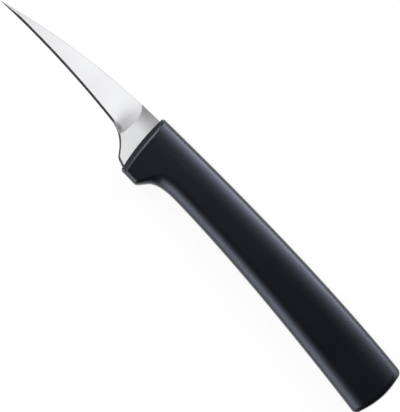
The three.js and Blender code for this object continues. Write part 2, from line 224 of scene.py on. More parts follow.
def ground_stainless_steel():
    """Martensitic stainless sheet, ground across the blade: bright, neutral grey, with fine lines."""
    material = bpy.data.materials.new("ground_stainless_steel")
    material.use_nodes = True
    tree = material.node_tree
    node = partial(add, tree)
    shader = tree.nodes["Principled BSDF"]
    shader.inputs["Metallic"].default_value = 1.0
    # The lines spread reflections along the blade more than across it.
    shader.inputs["Anisotropic"].default_value = 0.5
    along_blade = node("ShaderNodeTangent", direction_type="UV_MAP", uv_map="blade_plan")
    tree.links.new(along_blade, shader.inputs["Tangent"])
    place = node("ShaderNodeTexCoord").node.outputs["Object"]
    # Grinding lines run across the blade. The belt's 0.05 mm grit is drawn at 0.25 mm, to show.
    lines_scale = (1 / (0.25 * MM), 1 / (6 * MM), 1.0)
    lines_place = node("ShaderNodeMapping", {"Vector": place, "Scale": lines_scale})
    lines = node("ShaderNodeTexNoise", {"Vector": lines_place, "Scale": 1.0, "Detail": 3.0})
    # Broad, faint change of tone over about 15 mm, from uneven belt pressure.
    clouds_place = node("ShaderNodeMapping", {"Vector": place, "Scale": (1 / (15 * MM),) * 3})
    clouds = node("ShaderNodeTexNoise", {"Vector": clouds_place, "Scale": 1.0, "Detail": 1.0})
    # Painted shade: the base colour is darker at the tip, along the grind's run-out, on the top of the
    # neck, along the spine and along the cutting edge.
    painted_shade = node("ShaderNodeAttribute", attribute_name="painted_shade").node.outputs["Fac"]
    honed = node("ShaderNodeAttribute", attribute_name="honed").node.outputs["Fac"]
    # Tone, from dark to bright: the lines give most of it, the clouds shift it and the painted shade lowers
    # it.
    tone = node("ShaderNodeMath", {0: lines, 1: 0.5, 2: 0.3}, operation="MULTIPLY_ADD")
    tone = node("ShaderNodeMath", {0: clouds, 1: 0.3, 2: tone}, operation="MULTIPLY_ADD")
    tone = node("ShaderNodeMath", {0: painted_shade, 1: -0.5, 2: tone}, operation="MULTIPLY_ADD")
    colour = node("ShaderNodeValToRGB", {"Fac": tone})
    colour.node.color_ramp.elements[0].position = 0.0
    colour.node.color_ramp.elements[0].color = linear("#A7A4A6")
    colour.node.color_ramp.elements[1].position = 0.9
    colour.node.color_ramp.elements[1].color = linear("#F3F4F7")
    colour.node.color_ramp.elements.new(0.5).color = linear("#E1E1E3")
    tree.links.new(colour, shader.inputs["Base Color"])
    # The sharpened bevel and the eased edge of the neck are honed smooth.
    rough = node("ShaderNodeMapRange", {"Value": lines, "To Min": 0.34, "To Max": 0.42})
    rough = node("ShaderNodeMapRange", {"Value": honed, "To Min": rough, "To Max": 0.2})
    tree.links.new(rough, shader.inputs["Roughness"])
    bump = node("ShaderNodeBump", {"Height": lines, "Strength": 0.05, "Distance": 0.02 * MM})
    tree.links.new(bump, shader.inputs["Normal"])
    return material


def moulded_polypropylene():
    """Polypropylene with black masterbatch from a spark-eroded mould: bluish black with a satin grain."""
    material = bpy.data.materials.new("moulded_polypropylene")
    material.use_nodes = True
    tree = material.node_tree
    node = partial(add, tree)
    shader = tree.nodes["Principled BSDF"]
    shader.inputs["IOR"].default_value = 1.49
    shader.inputs["Specular Tint"].default_value = linear("#DCE5FF")
    place = node("ShaderNodeTexCoord").node.outputs["Object"]
    # The mould's spark grain is 0.2 mm across.
    grain_place = node("ShaderNodeMapping", {"Vector": place, "Scale": (1 / (0.2 * MM),) * 3})
    grain = node("ShaderNodeTexNoise", {"Vector": grain_place, "Scale": 1.0, "Detail": 2.0})
    # Handling polishes patches of about 12 mm a little.
    patch_place = node("ShaderNodeMapping", {"Vector": place, "Scale": (1 / (12 * MM),) * 3})
    patches = node("ShaderNodeTexNoise", {"Vector": patch_place, "Scale": 1.0, "Detail": 2.0})
    colour = node("ShaderNodeValToRGB", {"Fac": grain})
    colour.node.color_ramp.elements[0].position = 0.3
    colour.node.color_ramp.elements[0].color = linear("#08090C")
    colour.node.color_ramp.elements[1].position = 0.7
    colour.node.color_ramp.elements[1].color = linear("#0C0E12")
    tree.links.new(colour, shader.inputs["Base Color"])
    rough = node("ShaderNodeMapRange", {"Value": patches, "To Min": 0.3, "To Max": 0.38})
    # The front face was moulded against the blade's clamp, which leaves it matt.
    matt = node("ShaderNodeAttribute", attribute_name="matt").node.outputs["Fac"]
    rough = node("ShaderNodeMapRange", {"Value": matt, "To Min": rough, "To Max": 0.7})
    tree.links.new(rough, shader.inputs["Roughness"])
    bump = node("ShaderNodeBump", {"Height": grain, "Strength": 0.12, "Distance": 0.02 * MM})
    tree.links.new(bump, shader.inputs["Normal"])
    return material


# Blade with its tang

CURVE_POINTS = 80
FOOT_POINTS = 24
SHOULDER_RINGS = 9
ROUND_END_RINGS = 25
ROUND_END_FLAT = 0.02  # share of the round end's height that its last ring keeps
PIN_SIDES = 64


def bezier(start, control, end, count=CURVE_POINTS):
    """Points of a quadratic curve."""
    share = np.linspace(0, 1, count)[:, None]
    start, control, end = (np.array(p) for p in (start, control, end))
    return start * (1 - share) ** 2 + 2 * control * share * (1 - share) + end * share ** 2


def bowed(start, end, rise):
    """Control point that bows a curve off its chord."""
    start, end = np.array(start), np.array(end)
    chord = (end - start) / np.linalg.norm(end - start)
    return (start + end) / 2 + 2 * rise * np.array([-chord[1], chord[0]])


def meet(p, direction, q, other):
    """Point where two lines meet."""
    along = np.linalg.solve(np.column_stack([direction, -np.array(other)]), np.subtract(q, p))[0]
    return np.array(p) + along * np.array(direction)


def falling(angle):
    return np.array([math.cos(angle), -math.sin(angle)])


def spine_rail():
    tip, front = (-BLADE_LENGTH, TIP_BLUNT / 2), (0, SPINE_HEIGHT)
    curve = bezier(tip, bowed(tip, front, SPINE_BOW), front)
    return np.vstack([curve, [(NECK_SEAT + TANG_CLEARANCE, SPINE_HEIGHT)]])


def edge_rail():
    """Concave edge, heel, sloping neck and foot, from the tip to inside the handle."""
    tip = np.array([-BLADE_LENGTH, -TIP_BLUNT / 2])
    heel = np.array([-HEEL_SETBACK, -HEEL_DROP])
    foot = np.array([-FOOT_SETBACK, -FOOT_DROP])
    slope, seat = falling(NECK_SLOPE), falling(FOOT_SLOPE)
    hollow = bowed(tip, heel, EDGE_HOLLOW)
    corner = meet(heel, heel - hollow, foot, slope)
    blend = min(np.linalg.norm(corner - heel), np.linalg.norm(corner - foot) - FOOT_BLEND)
    level = foot + FOOT_LENGTH * seat
    return np.vstack([
        bezier(tip, hollow, heel),
        bezier(heel, corner, corner + blend * slope)[1:],
        bezier(foot - FOOT_BLEND * slope, foot, foot + FOOT_BLEND * seat, FOOT_POINTS),
        [level, (max(NECK_SEAT, level[0]) + TANG_CLEARANCE, level[1])],
    ])


SPINE_RAIL, EDGE_RAIL = spine_rail(), edge_rail()


def spine_at(x):
    return np.interp(x, SPINE_RAIL[:, 0], SPINE_RAIL[:, 1])


def edge_at(x):
    return np.interp(x, EDGE_RAIL[:, 0], EDGE_RAIL[:, 1])


def plunge_sweep(share):
    """X of the grind's curved run-out line at a share of the blade's height, minus to the tip."""
    above = np.maximum(0, (share - PLUNGE_PIVOT) / (1 - PLUNGE_PIVOT))
    below = np.maximum(0, (PLUNGE_PIVOT - share) / PLUNGE_PIVOT)
    return -PLUNGE_SPINE_SWEEP * above ** 3 - PLUNGE_EDGE_SWEEP * below ** 3


def blade_ring(station, steps, grow):
    """One closed cross line of the blade: up one side from the edge to the spine, and down the other."""
    tall = spine_at(station) - edge_at(station)
    bevel = min(BEVEL_WIDTH / tall, BEVEL_SHARE)
    share = np.concatenate([[0], np.linspace(bevel, 1, steps)])
    weight = smooth(station, -BLADE_LENGTH / 2, -PLUNGE_SETBACK - PLUNGE_RAMP)
    weight *= 1 - smooth(station, -PLUNGE_SETBACK, 0)
    x = station + plunge_sweep(share) * weight
    low, high = edge_at(x) - grow, spine_at(x) + grow
    height = high - low
    ramp = mix(HEEL_RAMP, PLUNGE_RAMP, smooth(share, 0, PLUNGE_PIVOT))
    run = np.clip((station + PLUNGE_SETBACK + ramp) / ramp, 0, 1)
    run_out = run ** 2 * mix(3 - 2 * run, 1, smooth(share, 0, CREST_FULL))
    upper = np.maximum(1 - (1 - share) * height / NECK_RELIEF_HEIGHT, 0)
    relief = upper ** 2 * NECK_RELIEF
    neck = NECK_THICKNESS / 2 - np.where(share == 0, NECK_EDGE_BREAK, relief)
    taper = np.clip((x + BLADE_LENGTH) / (BLADE_LENGTH - PLUNGE_SETBACK), 0, 1)
    shoulder = mix(EDGE_LAND, SHOULDER_THICKNESS, np.minimum(bevel * height / BEVEL_WIDTH, 1)) / 2
    spine = np.minimum(mix(TIP_THICKNESS, SPINE_THICKNESS, taper), height) / 2
    spine = np.minimum(spine, shoulder + FACE_LEAN * (1 - bevel) * height)
    ground = mix(shoulder, spine, (share - bevel) / (1 - bevel))
    ground = np.where(share == 0, EDGE_LAND / 2, ground)
    half = mix(ground, neck, run_out) + grow
    side = np.column_stack([x, mix(low, high, share), half])
    return np.vstack([side, side[::-1] * (1, 1, -1)])


def tang_ring(x, axis, half_height, steps, grow):
    """One closed cross line of the tang, in the order of the blade's."""
    share = np.linspace(0, 1, steps + 1)
    y = axis + half_height * (2 * share - 1)
    side = np.column_stack([np.full(steps + 1, x), y, np.full(steps + 1, NECK_THICKNESS / 2 + grow)])
    return np.vstack([side, side[::-1] * (1, 1, -1)])


def tang_rings(axis, steps, grow):
    """Shoulder radius, tapering bar and round end of the tang."""
    root, end = NECK_SEAT + grow, TANG_LENGTH + grow
    radius, tip = TANG_SHOULDER_RADIUS - grow, TANG_END_HEIGHT / 2 + grow
    tall = TANG_HEIGHT / 2 + grow
    rings = []
    for turn in np.linspace(0, QUARTER, SHOULDER_RINGS):
        x = root + radius * (1 - math.cos(turn))
        rings.append(tang_ring(x, axis, tall + radius * (1 - math.sin(turn)), steps, grow))
    for turn in np.linspace(0, QUARTER, ROUND_END_RINGS)[:-1]:
        rings.append(tang_ring(end - tip + tip * math.sin(turn), axis, tip * math.cos(turn), steps, grow))
    rings.append(tang_ring(end, axis, tip * ROUND_END_FLAT, steps, grow))
    return rings


def loft_mesh(name, rings):
    """Closed skin over a row of rings."""
    size = len(rings[0])
    faces = []
    for r in range(len(rings) - 1):
        for i in range(size):
            j = (i + 1) % size
            faces.append((r * size + i, (r + 1) * size + i, (r + 1) * size + j, r * size + j))
    last = (len(rings) - 1) * size
    for i in range(size // 2 - 1):
        k = size - 1 - i
        faces.append((i, i + 1, k - 1, k))
        faces.append((last + k, last + k - 1, last + i + 1, last + i))
    mesh = bpy.data.meshes.new(name)
    mesh.from_pydata(np.vstack(rings) * MM + np.array(ORIGIN), [], faces)
    mesh.validate()
    return mesh


def anchor_pins(axis, diameter):
    """Round bars through the tang, to cut its holes."""
    turns = np.linspace(0, 2 * math.pi, PIN_SIDES, endpoint=False)
    radius = diameter / 2
    points, faces = [], []
    for i in range(ANCHOR_HOLES):
        first = len(points)
        x = ANCHOR_FIRST + i * ANCHOR_PITCH
        for z in (-NECK_THICKNESS, NECK_THICKNESS):
            points += [(x + radius * math.cos(t), axis + radius * math.sin(t), z) for t in turns]
        low = list(range(first, first + len(turns)))
        high = [k + len(turns) for k in low]
        faces += [low[::-1], high]
        faces += [(low[k - 1], low[k], high[k], high[k - 1]) for k in range(len(turns))]
    mesh = bpy.data.meshes.new("anchor_pins")
    mesh.from_pydata(np.array(points) * MM + np.array(ORIGIN), [], faces)
    return shown("anchor_pins", mesh)


def steel_solid(name, first, rows, steps, axis, grow=0.0):
    """Blade from a station on, neck and tang as one solid, with the anchor holes."""
    stations = np.unique(np.concatenate([np.linspace(a, b, n) for a, b, n in rows]))
    rings = [blade_ring(x, steps, grow) for x in stations if x >= first]
    solid = shown(name, loft_mesh(name, rings + tang_rings(axis, steps, grow)))
    cut_out(solid, anchor_pins(axis, ANCHOR_DIAMETER - 2 * grow))
    return solid


# Painted shade on the steel, and its honed faces: lengths in millimetres, and how much shade a place gets,
# from 0 to 1
CREST_BAND = 0.3  # to each side of the plunge's crest, where the painted shade changes from blade to neck
NECK_SHADE_HEIGHT = 1.2 * NECK_RELIEF_HEIGHT  # down from the spine, where the painted shade on the neck's top fades out
NECK_SHADE_REAR = 0.5  # how much painted shade the neck's top gets at the handle
SPINE_SHADE_FULL = 0.1  # down from the spine, where the painted shade along the spine is darkest
SPINE_SHADE_END = 0.5  # down from the spine, where that fades out
SPINE_SHADE_AMOUNT = 0.6
RUN_OUT_SHADE_START = 11.0  # in front of the plunge, where the painted shade of the run-out starts
RUN_OUT_SHADE_FULL = 2.5  # in front of the plunge, where that shade is darkest
RUN_OUT_SHADE_AMOUNT = 0.6
RUN_OUT_SHADE_SPINE = 0.1  # the same at the spine
RUN_OUT_SPINE_FADE = (0.4, 1)  # shares of the blade's height between which it goes from one to the other
RUN_OUT_EDGE_PART = 0.6  # part of it that the cutting edge gets
RUN_OUT_EDGE_FADE = (0, 0.25)  # shares of the blade's height between which it grows to the whole
LOW_SHADE_AMOUNT = 0.2  # painted shade along the cutting edge
LOW_FADE = (0.1, 0.9)  # shares of the blade's height between which that fades out
TIP_FULL = 1.0  # from the tip, where the painted shade is full
TIP_SHADE_END = 6.0  # from the tip, where that fades out
WIDE_TIP_SHADE_END = 30.0  # from the tip, where a lighter painted shade fades out
WIDE_TIP_SHADE_AMOUNT = 0.5
HONED_SETBACK = 7.5  # end of the sharpened edge, in front of the handle
EASED_HONE = 0.5  # how far the neck's eased edge is honed, from 0 to 1


def mark_finish(mesh):
    """Marks the honed faces along the edge and the painted shade on the steel."""
    places = np.array([v.co for v in mesh.vertices]) / MM - np.array(ORIGIN) / MM
    x, y = places[:, 0], places[:, 1]
    tall = spine_at(x) - edge_at(x)
    share = np.clip((y - edge_at(x)) / tall, 0, 1)
    behind = x + PLUNGE_SETBACK - plunge_sweep(share)
    on_neck = smooth(behind, -CREST_BAND, CREST_BAND)
    below_spine = spine_at(x) - y
    # Painted shade, each part darkening the steel's base colour: the neck's top, along the spine, along the
    # run-out, along the cutting edge and towards the tip.
    relief = on_neck * mix(1, NECK_SHADE_REAR, smooth(behind, 0, PLUNGE_SETBACK))
    relief *= 1 - smooth(below_spine, 0, NECK_SHADE_HEIGHT)
    spine_shade = (1 - on_neck) * (1 - smooth(below_spine, SPINE_SHADE_FULL, SPINE_SHADE_END)) * SPINE_SHADE_AMOUNT
    run_out_shade = smooth(behind, -RUN_OUT_SHADE_START, -RUN_OUT_SHADE_FULL) * (1 - smooth(behind, -RUN_OUT_SHADE_FULL, 0))
    to_spine = mix(RUN_OUT_SHADE_AMOUNT, RUN_OUT_SHADE_SPINE, smooth(share, *RUN_OUT_SPINE_FADE))
    from_edge = mix(RUN_OUT_EDGE_PART, 1, smooth(share, *RUN_OUT_EDGE_FADE))
    run_out_shade *= to_spine * from_edge
    low_half = (1 - on_neck) * (1 - smooth(share, *LOW_FADE)) * LOW_SHADE_AMOUNT
    tip = 1 - smooth(x + BLADE_LENGTH, TIP_FULL, TIP_SHADE_END)
    wide_tip_shade = WIDE_TIP_SHADE_AMOUNT * (1 - smooth(x + BLADE_LENGTH, 0, WIDE_TIP_SHADE_END))
    # The painted shade at a point is the darkest of these parts.
    painted_shade = mesh.attributes.new("painted_shade", "FLOAT", "POINT")
    painted_shade.data.foreach_set("value", np.maximum.reduce([relief, spine_shade, run_out_shade, low_half, tip, wide_tip_shade]))
    # A plan of the blade, so that its material can find the direction along it
    plan = mesh.uv_layers.new(name="blade_plan")
    corners = np.array([loop.vertex_index for loop in mesh.loops])
    plan.data.foreach_set("uv", (places[corners, :2] / BLADE_LENGTH).ravel())
    centres = np.array([f.center for f in mesh.polygons]) / MM - np.array(ORIGIN) / MM
    above = centres[:, 1] - edge_at(centres[:, 0])
    tall = spine_at(centres[:, 0]) - edge_at(centres[:, 0])
    honed = mesh.attributes.new("honed", "FLOAT", "FACE")
    bevel = above < np.minimum(BEVEL_WIDTH, BEVEL_SHARE * tall)
    honed.data.foreach_set("value", bevel * np.where(centres[:, 0] < -HONED_SETBACK, 1.0, EASED_HONE))


# Handle

SECTION_LEAN = math.radians(5.4)  # slope where the crowned back and belly run into the corners
LEAST_EDGE = 0.1  # mm that an edge radius keeps where another one eats into it

# The flat grid that is bent into the handle, 1 by 1 with its middle at 0
POINTS_ALONG = 301
POINTS_AROUND = 129
GRID_END = 0.5
FACE_END = 0.45  # where an end face reaches its edge
EDGE_END = 0.4  # where that edge runs into the handle's sides
CROWDING = 1.35  # power that draws the cross lines together towards the front
MERGE_DISTANCE = 0.002  # mm, where the grid closes on itself

# Ends of the stretches round half the section, as shares of the way from the belly to the back
BELLY_END = 0.1
LOW_CORNER_END = 0.44
SIDE_END = 0.54
TOP_CORNER_END = 0.9


def handle_tree():
    """Loft between the handle's back and belly, with its sizes as inputs."""
    tree = bpy.data.node_groups.new("handle_loft", "GeometryNodeTree")
    tree.interface.new_socket("Mesh", in_out="OUTPUT", socket_type="NodeSocketGeometry")
    for name in HANDLE:
        tree.interface.new_socket(name, in_out="INPUT", socket_type="NodeSocketFloat")
    tree.interface.new_socket("Origin", in_out="INPUT", socket_type="NodeSocketVector")
    tree.interface.new_socket("Plastic", in_out="INPUT", socket_type="NodeSocketMaterial")
    node = partial(add, tree)
    size = node("NodeGroupInput").node.outputs

    # A flat grid is bent into the handle. Its X runs from front to butt, its Y round the section.
    grid = node(
        "GeometryNodeMeshGrid",
        {"Size X": 1.0, "Size Y": 1.0, "Vertices X": POINTS_ALONG, "Vertices Y": POINTS_AROUND},
    )
    place = node("ShaderNodeSeparateXYZ", {0: node("GeometryNodeInputPosition")}).node.outputs
    along, around = place["X"], place["Y"]

    # Along: each end face opens out from its middle line, then comes its edge, chamfered or round.
    front_face = node("ShaderNodeMapRange", {"Value": along, "From Min": -GRID_END, "From Max": -FACE_END})
    butt_face = node("ShaderNodeMapRange", {"Value": along, "From Min": GRID_END, "From Max": FACE_END})
    opened = node("ShaderNodeMath", {0: front_face, 1: butt_face}, operation="MULTIPLY")
    front_run = node("ShaderNodeMapRange", {"Value": along, "From Min": -FACE_END, "From Max": -EDGE_END})
    butt_turn = node(
        "ShaderNodeMapRange",
        {"Value": along, "From Min": FACE_END, "From Max": EDGE_END, "To Max": QUARTER},
    )
    butt_sine = node("ShaderNodeMath", {0: butt_turn}, operation="SINE")
    butt_cosine = node("ShaderNodeMath", {0: butt_turn}, operation="COSINE")
    front_in = node("ShaderNodeMath", {0: 1.0, 1: front_run}, operation="SUBTRACT")
    front_in = node("ShaderNodeMath", {0: front_in, 1: size["Front Chamfer Drop"]}, operation="MULTIPLY")
    butt_in = node("ShaderNodeMath", {0: butt_sine, 1: size["Butt Edge"]}, operation="MULTIPLY")
    butt_in = node("ShaderNodeMath", {0: size["Butt Edge"], 1: butt_in}, operation="SUBTRACT")
    inset = node("ShaderNodeMath", {0: front_in, 1: butt_in}, operation="ADD")
    # The butt's edge is tighter on the two sides than on the back and the belly.
    butt_side = node(
        "ShaderNodeMath", {0: size["Butt Side Edge"], 1: size["Butt Edge"]}, operation="DIVIDE"
    )
    side_inset = node("ShaderNodeMath", {0: butt_in, 1: butt_side, 2: front_in}, operation="MULTIPLY_ADD")
    front_depth = node("ShaderNodeMath", {0: front_run, 1: size["Front Chamfer"]}, operation="MULTIPLY")
    butt_depth = node("ShaderNodeMath", {0: butt_cosine, 1: size["Butt Edge"]}, operation="MULTIPLY")
    plain = node(
        "ShaderNodeMath", {0: size["Handle Length"], 1: size["Front Chamfer"]}, operation="SUBTRACT"
    )
    plain = node("ShaderNodeMath", {0: plain, 1: size["Butt Edge"]}, operation="SUBTRACT")
    run = node("ShaderNodeMapRange", {"Value": along, "From Min": -EDGE_END, "From Max": EDGE_END})
    run = node("ShaderNodeMath", {0: run, 1: CROWDING}, operation="POWER")
    station = node("ShaderNodeMath", {0: run, 1: plain, 2: front_depth}, operation="MULTIPLY_ADD")
    station = node("ShaderNodeMath", {0: station, 1: butt_depth}, operation="ADD")
    length_share = node("ShaderNodeMath", {0: station, 1: size["Handle Length"]}, operation="DIVIDE")

    # Cross lines lean with the front face at one end and with the butt at the other.
    lean = node("ShaderNodeMath", {0: size["Front Lean"]}, operation="TANGENT")
    top_front = node("ShaderNodeMath", {0: lean, 1: size["Front Top"]}, operation="MULTIPLY")
    top_front = node("ShaderNodeMath", {0: size["Front Crown"], 1: top_front}, operation="SUBTRACT")
    low_front = node(
        "ShaderNodeMath", {0: lean, 1: size["Guard Drop"], 2: size["Front Crown"]}, operation="MULTIPLY_ADD"
    )
    butt_lean = node("ShaderNodeMath", {0: size["Butt Lean"]}, operation="TANGENT")
    butt_end = node(
        "ShaderNodeMath", {0: size["Handle Length"], 1: size["Butt Crown"]}, operation="SUBTRACT"
    )
    top_butt = node(
        "ShaderNodeMath", {0: butt_lean, 1: size["Butt Top"], 2: butt_end}, operation="MULTIPLY_ADD"
    )
    low_butt = node(
        "ShaderNodeMath", {0: butt_lean, 1: size["Butt Bottom"], 2: butt_end}, operation="MULTIPLY_ADD"
    )
    back_x = node("ShaderNodeMapRange", {"Value": length_share, "To Min": top_front, "To Max": top_butt})
    belly_x = node("ShaderNodeMapRange", {"Value": length_share, "To Min": low_front, "To Max": low_butt})

    # Back: one quadratic curve, solved for its share at this X.
    turn = size["Back Turn X"]
    bend = node("ShaderNodeMath", {0: turn, 1: -2.0, 2: size["Handle Length"]}, operation="MULTIPLY_ADD")
    square = node("ShaderNodeMath", {0: turn, 1: turn}, operation="MULTIPLY")
    root = node("ShaderNodeMath", {0: bend, 1: back_x, 2: square}, operation="MULTIPLY_ADD")
    root = node("ShaderNodeMath", {0: root}, operation="SQRT")
    root = node("ShaderNodeMath", {0: root, 1: turn}, operation="ADD")
    share = node("ShaderNodeMath", {0: back_x, 1: root}, operation="DIVIDE")
    early = node(
        "ShaderNodeMapRange",
        {"Value": share, "To Min": size["Front Top"], "To Max": size["Back Turn Y"]},
        clamp=False,
    )
    late = node(
        "ShaderNodeMapRange",
        {"Value": share, "To Min": size["Back Turn Y"], "To Max": size["Butt Top"]},
        clamp=False,
    )
    back = node("ShaderNodeMapRange", {"Value": share, "To Min": early, "To Max": late}, clamp=False)
    top = node("ShaderNodeMath", {0: back, 1: inset}, operation="SUBTRACT")

    # Belly: the guard's flat and its slope, with a round corner.
    guard = node("ShaderNodeMath", {0: size["Guard Drop"], 1: -1.0}, operation="MULTIPLY")
    drop = node("ShaderNodeMath", {0: size["Guard Drop"], 1: size["Belly Drop"]}, operation="SUBTRACT")
    rise = node("ShaderNodeMath", {0: size["Guard Slope"]}, operation="TANGENT")
    corner = node("ShaderNodeMath", {0: drop, 1: rise}, operation="DIVIDE")
    corner = node("ShaderNodeMath", {0: corner, 1: size["Guard End"]}, operation="ADD")
    blend = node("ShaderNodeMath", {0: size["Guard Slope"]}, operation="COSINE")
    blend = node("ShaderNodeMath", {0: blend, 1: size["Recess Blend"]}, operation="MULTIPLY")
    hollow = node("ShaderNodeMath", {0: corner, 1: blend}, operation="SUBTRACT")
    behind = node("ShaderNodeMath", {0: belly_x, 1: hollow}, operation="MINIMUM")
    behind = node("ShaderNodeMath", {0: behind, 1: size["Guard End"]}, operation="SUBTRACT")
    slope = node("ShaderNodeMath", {0: behind, 1: rise, 2: guard}, operation="MULTIPLY_ADD")
    belly = node("ShaderNodeMath", {0: guard, 1: slope, 2: size["Guard Corner"]}, operation="SMOOTH_MAX")

    # The hollow behind the guard, one quadratic curve.
    length = node("ShaderNodeMath", {0: blend, 1: size["Recess Run"]}, operation="ADD")
    bend = node("ShaderNodeMath", {0: size["Recess Run"], 1: blend}, operation="SUBTRACT")
    run = node("ShaderNodeMath", {0: belly_x, 1: hollow}, operation="SUBTRACT")
    run = node("ShaderNodeClamp", {"Value": run, "Min": 0.0, "Max": length})
    square = node("ShaderNodeMath", {0: blend, 1: blend}, operation="MULTIPLY")
    root = node("ShaderNodeMath", {0: bend, 1: run, 2: square}, operation="MULTIPLY_ADD")
    root = node("ShaderNodeMath", {0: root}, operation="SQRT")
    root = node("ShaderNodeMath", {0: root, 1: blend}, operation="ADD")
    share = node("ShaderNodeMath", {0: run, 1: root}, operation="DIVIDE")
    left = node("ShaderNodeMath", {0: 1.0, 1: share}, operation="SUBTRACT")
    left = node("ShaderNodeMath", {0: left, 1: left}, operation="MULTIPLY")
    risen = node("ShaderNodeMath", {0: 1.0, 1: left}, operation="SUBTRACT")
    height = node("ShaderNodeMath", {0: blend, 1: rise}, operation="MULTIPLY")
    belly = node("ShaderNodeMath", {0: risen, 1: height, 2: belly}, operation="MULTIPLY_ADD")

    # The long curve from there to the butt.
    start = node("ShaderNodeMath", {0: corner, 1: size["Recess Run"]}, operation="ADD")
    first = node("ShaderNodeMath", {0: size["Belly Turn X"], 1: start}, operation="SUBTRACT")
    second = node(
        "ShaderNodeMath", {0: size["Handle Length"], 1: size["Belly Turn X"]}, operation="SUBTRACT"
    )
    bend = node("ShaderNodeMath", {0: second, 1: first}, operation="SUBTRACT")
    run = node("ShaderNodeMath", {0: belly_x, 1: start}, operation="SUBTRACT")
    run = node("ShaderNodeMath", {0: run, 1: 0.0}, operation="MAXIMUM")
    square = node("ShaderNodeMath", {0: first, 1: first}, operation="MULTIPLY")
    root = node("ShaderNodeMath", {0: bend, 1: run, 2: square}, operation="MULTIPLY_ADD")
    root = node("ShaderNodeMath", {0: root}, operation="SQRT")
    root = node("ShaderNodeMath", {0: root, 1: first}, operation="ADD")
    share = node("ShaderNodeMath", {0: run, 1: root}, operation="DIVIDE")
    share = node("ShaderNodeMath", {0: share, 1: share}, operation="MULTIPLY")
    fall = node("ShaderNodeMath", {0: size["Butt Bottom"], 1: size["Belly Drop"]}, operation="ADD")
    belly = node("ShaderNodeMath", {0: share, 1: fall, 2: belly}, operation="MULTIPLY_ADD")
    low = node("ShaderNodeMath", {0: belly, 1: inset}, operation="ADD")

    # Section: half thickness, and the elliptical corners, tight on the guard and full behind it.
    # They grow a little towards the butt.
    thick = node(
        "ShaderNodeMapRange",
        {
            "Value": belly_x,
            "From Max": size["Taper End"],
            "To Min": size["Front Thickness"],
            "To Max": size["Body Thickness"],
        },
        interpolation_type="SMOOTHSTEP",
    )
    half = node("ShaderNodeMath", {0: thick, 1: 2.0}, operation="DIVIDE")
    half = node("ShaderNodeMath", {0: half, 1: side_inset}, operation="SUBTRACT")
    grip_start = node(
        "ShaderNodeMath", {0: size["Guard End"], 1: size["Guard Corner"]}, operation="SUBTRACT"
    )
    grip_end = node("ShaderNodeMath", {0: size["Guard End"], 1: drop}, operation="ADD")
    grip = node(
        "ShaderNodeMapRange",
        {"Value": belly_x, "From Min": grip_start, "From Max": grip_end},
        interpolation_type="SMOOTHSTEP",
    )
    grip_rise = node(
        "ShaderNodeMapRange",
        {
            "Value": belly_x,
            "From Min": grip_end,
            "From Max": size["Handle Length"],
            "To Min": size["Belly Rise"],
            "To Max": size["Belly Rise Butt"],
        },
    )
    low_rise = node(
        "ShaderNodeMapRange", {"Value": grip, "To Min": size["Guard Edge"], "To Max": grip_rise}
    )
    low_rise = node("ShaderNodeMath", {0: low_rise, 1: inset}, operation="SUBTRACT")
    low_rise = node("ShaderNodeMath", {0: low_rise, 1: LEAST_EDGE}, operation="MAXIMUM")
    low_depth = node(
        "ShaderNodeMapRange", {"Value": grip, "To Min": size["Guard Edge"], "To Max": size["Belly Depth"]}
    )
    low_depth = node("ShaderNodeMath", {0: low_depth, 1: side_inset}, operation="SUBTRACT")
    low_depth = node("ShaderNodeMath", {0: low_depth, 1: LEAST_EDGE}, operation="MAXIMUM")
    top_rise = node(
        "ShaderNodeMapRange",
        {
            "Value": belly_x,
            "From Min": size["Back Turn X"],
            "From Max": size["Handle Length"],
            "To Min": size["Back Rise"],
            "To Max": size["Back Rise Butt"],
        },
        interpolation_type="SMOOTHSTEP",
    )
    top_rise = node("ShaderNodeMath", {0: top_rise, 1: inset}, operation="SUBTRACT")
    top_depth = node("ShaderNodeMath", {0: size["Back Depth"], 1: side_inset}, operation="SUBTRACT")

    # Round the section: belly, its corner, the flat side, the back's corner and the back.
    side = node("ShaderNodeMath", {0: around}, operation="SIGN")
    step = node("ShaderNodeMath", {0: around}, operation="ABSOLUTE")
    step = node("ShaderNodeMapRange", {"Value": step, "From Min": GRID_END, "From Max": 0.0})
    low_flat = node("ShaderNodeMapRange", {"Value": step, "From Min": 0.0, "From Max": BELLY_END})
    top_flat = node("ShaderNodeMapRange", {"Value": step, "From Min": 1.0, "From Max": TOP_CORNER_END})
    low_turn = node(
        "ShaderNodeMapRange",
        {
            "Value": step,
            "From Min": BELLY_END,
            "From Max": LOW_CORNER_END,
            "To Min": SECTION_LEAN,
            "To Max": QUARTER,
        },
    )
    land = node("ShaderNodeMapRange", {"Value": step, "From Min": LOW_CORNER_END, "From Max": SIDE_END})
    top_turn = node(
        "ShaderNodeMapRange",
        {
            "Value": step,
            "From Min": SIDE_END,
            "From Max": TOP_CORNER_END,
            "To Max": QUARTER - SECTION_LEAN,
        },
    )
    low_sine = node("ShaderNodeMath", {0: low_turn}, operation="SINE")
    low_cosine = node("ShaderNodeMath", {0: low_turn}, operation="COSINE")
    top_sine = node("ShaderNodeMath", {0: top_turn}, operation="SINE")
    top_cosine = node("ShaderNodeMath", {0: top_turn}, operation="COSINE")
    width = node("ShaderNodeMath", {0: low_depth, 1: low_sine, 2: half}, operation="MULTIPLY_ADD")
    width = node("ShaderNodeMath", {0: width, 1: low_depth}, operation="SUBTRACT")
    width = node("ShaderNodeMath", {0: top_depth, 1: top_cosine, 2: width}, operation="MULTIPLY_ADD")
    width = node("ShaderNodeMath", {0: width, 1: top_depth}, operation="SUBTRACT")
    width = node("ShaderNodeMath", {0: width, 1: low_flat}, operation="MULTIPLY")
    width = node("ShaderNodeMath", {0: width, 1: top_flat}, operation="MULTIPLY")
    corners = node("ShaderNodeMath", {0: low_rise, 1: top_rise}, operation="ADD")
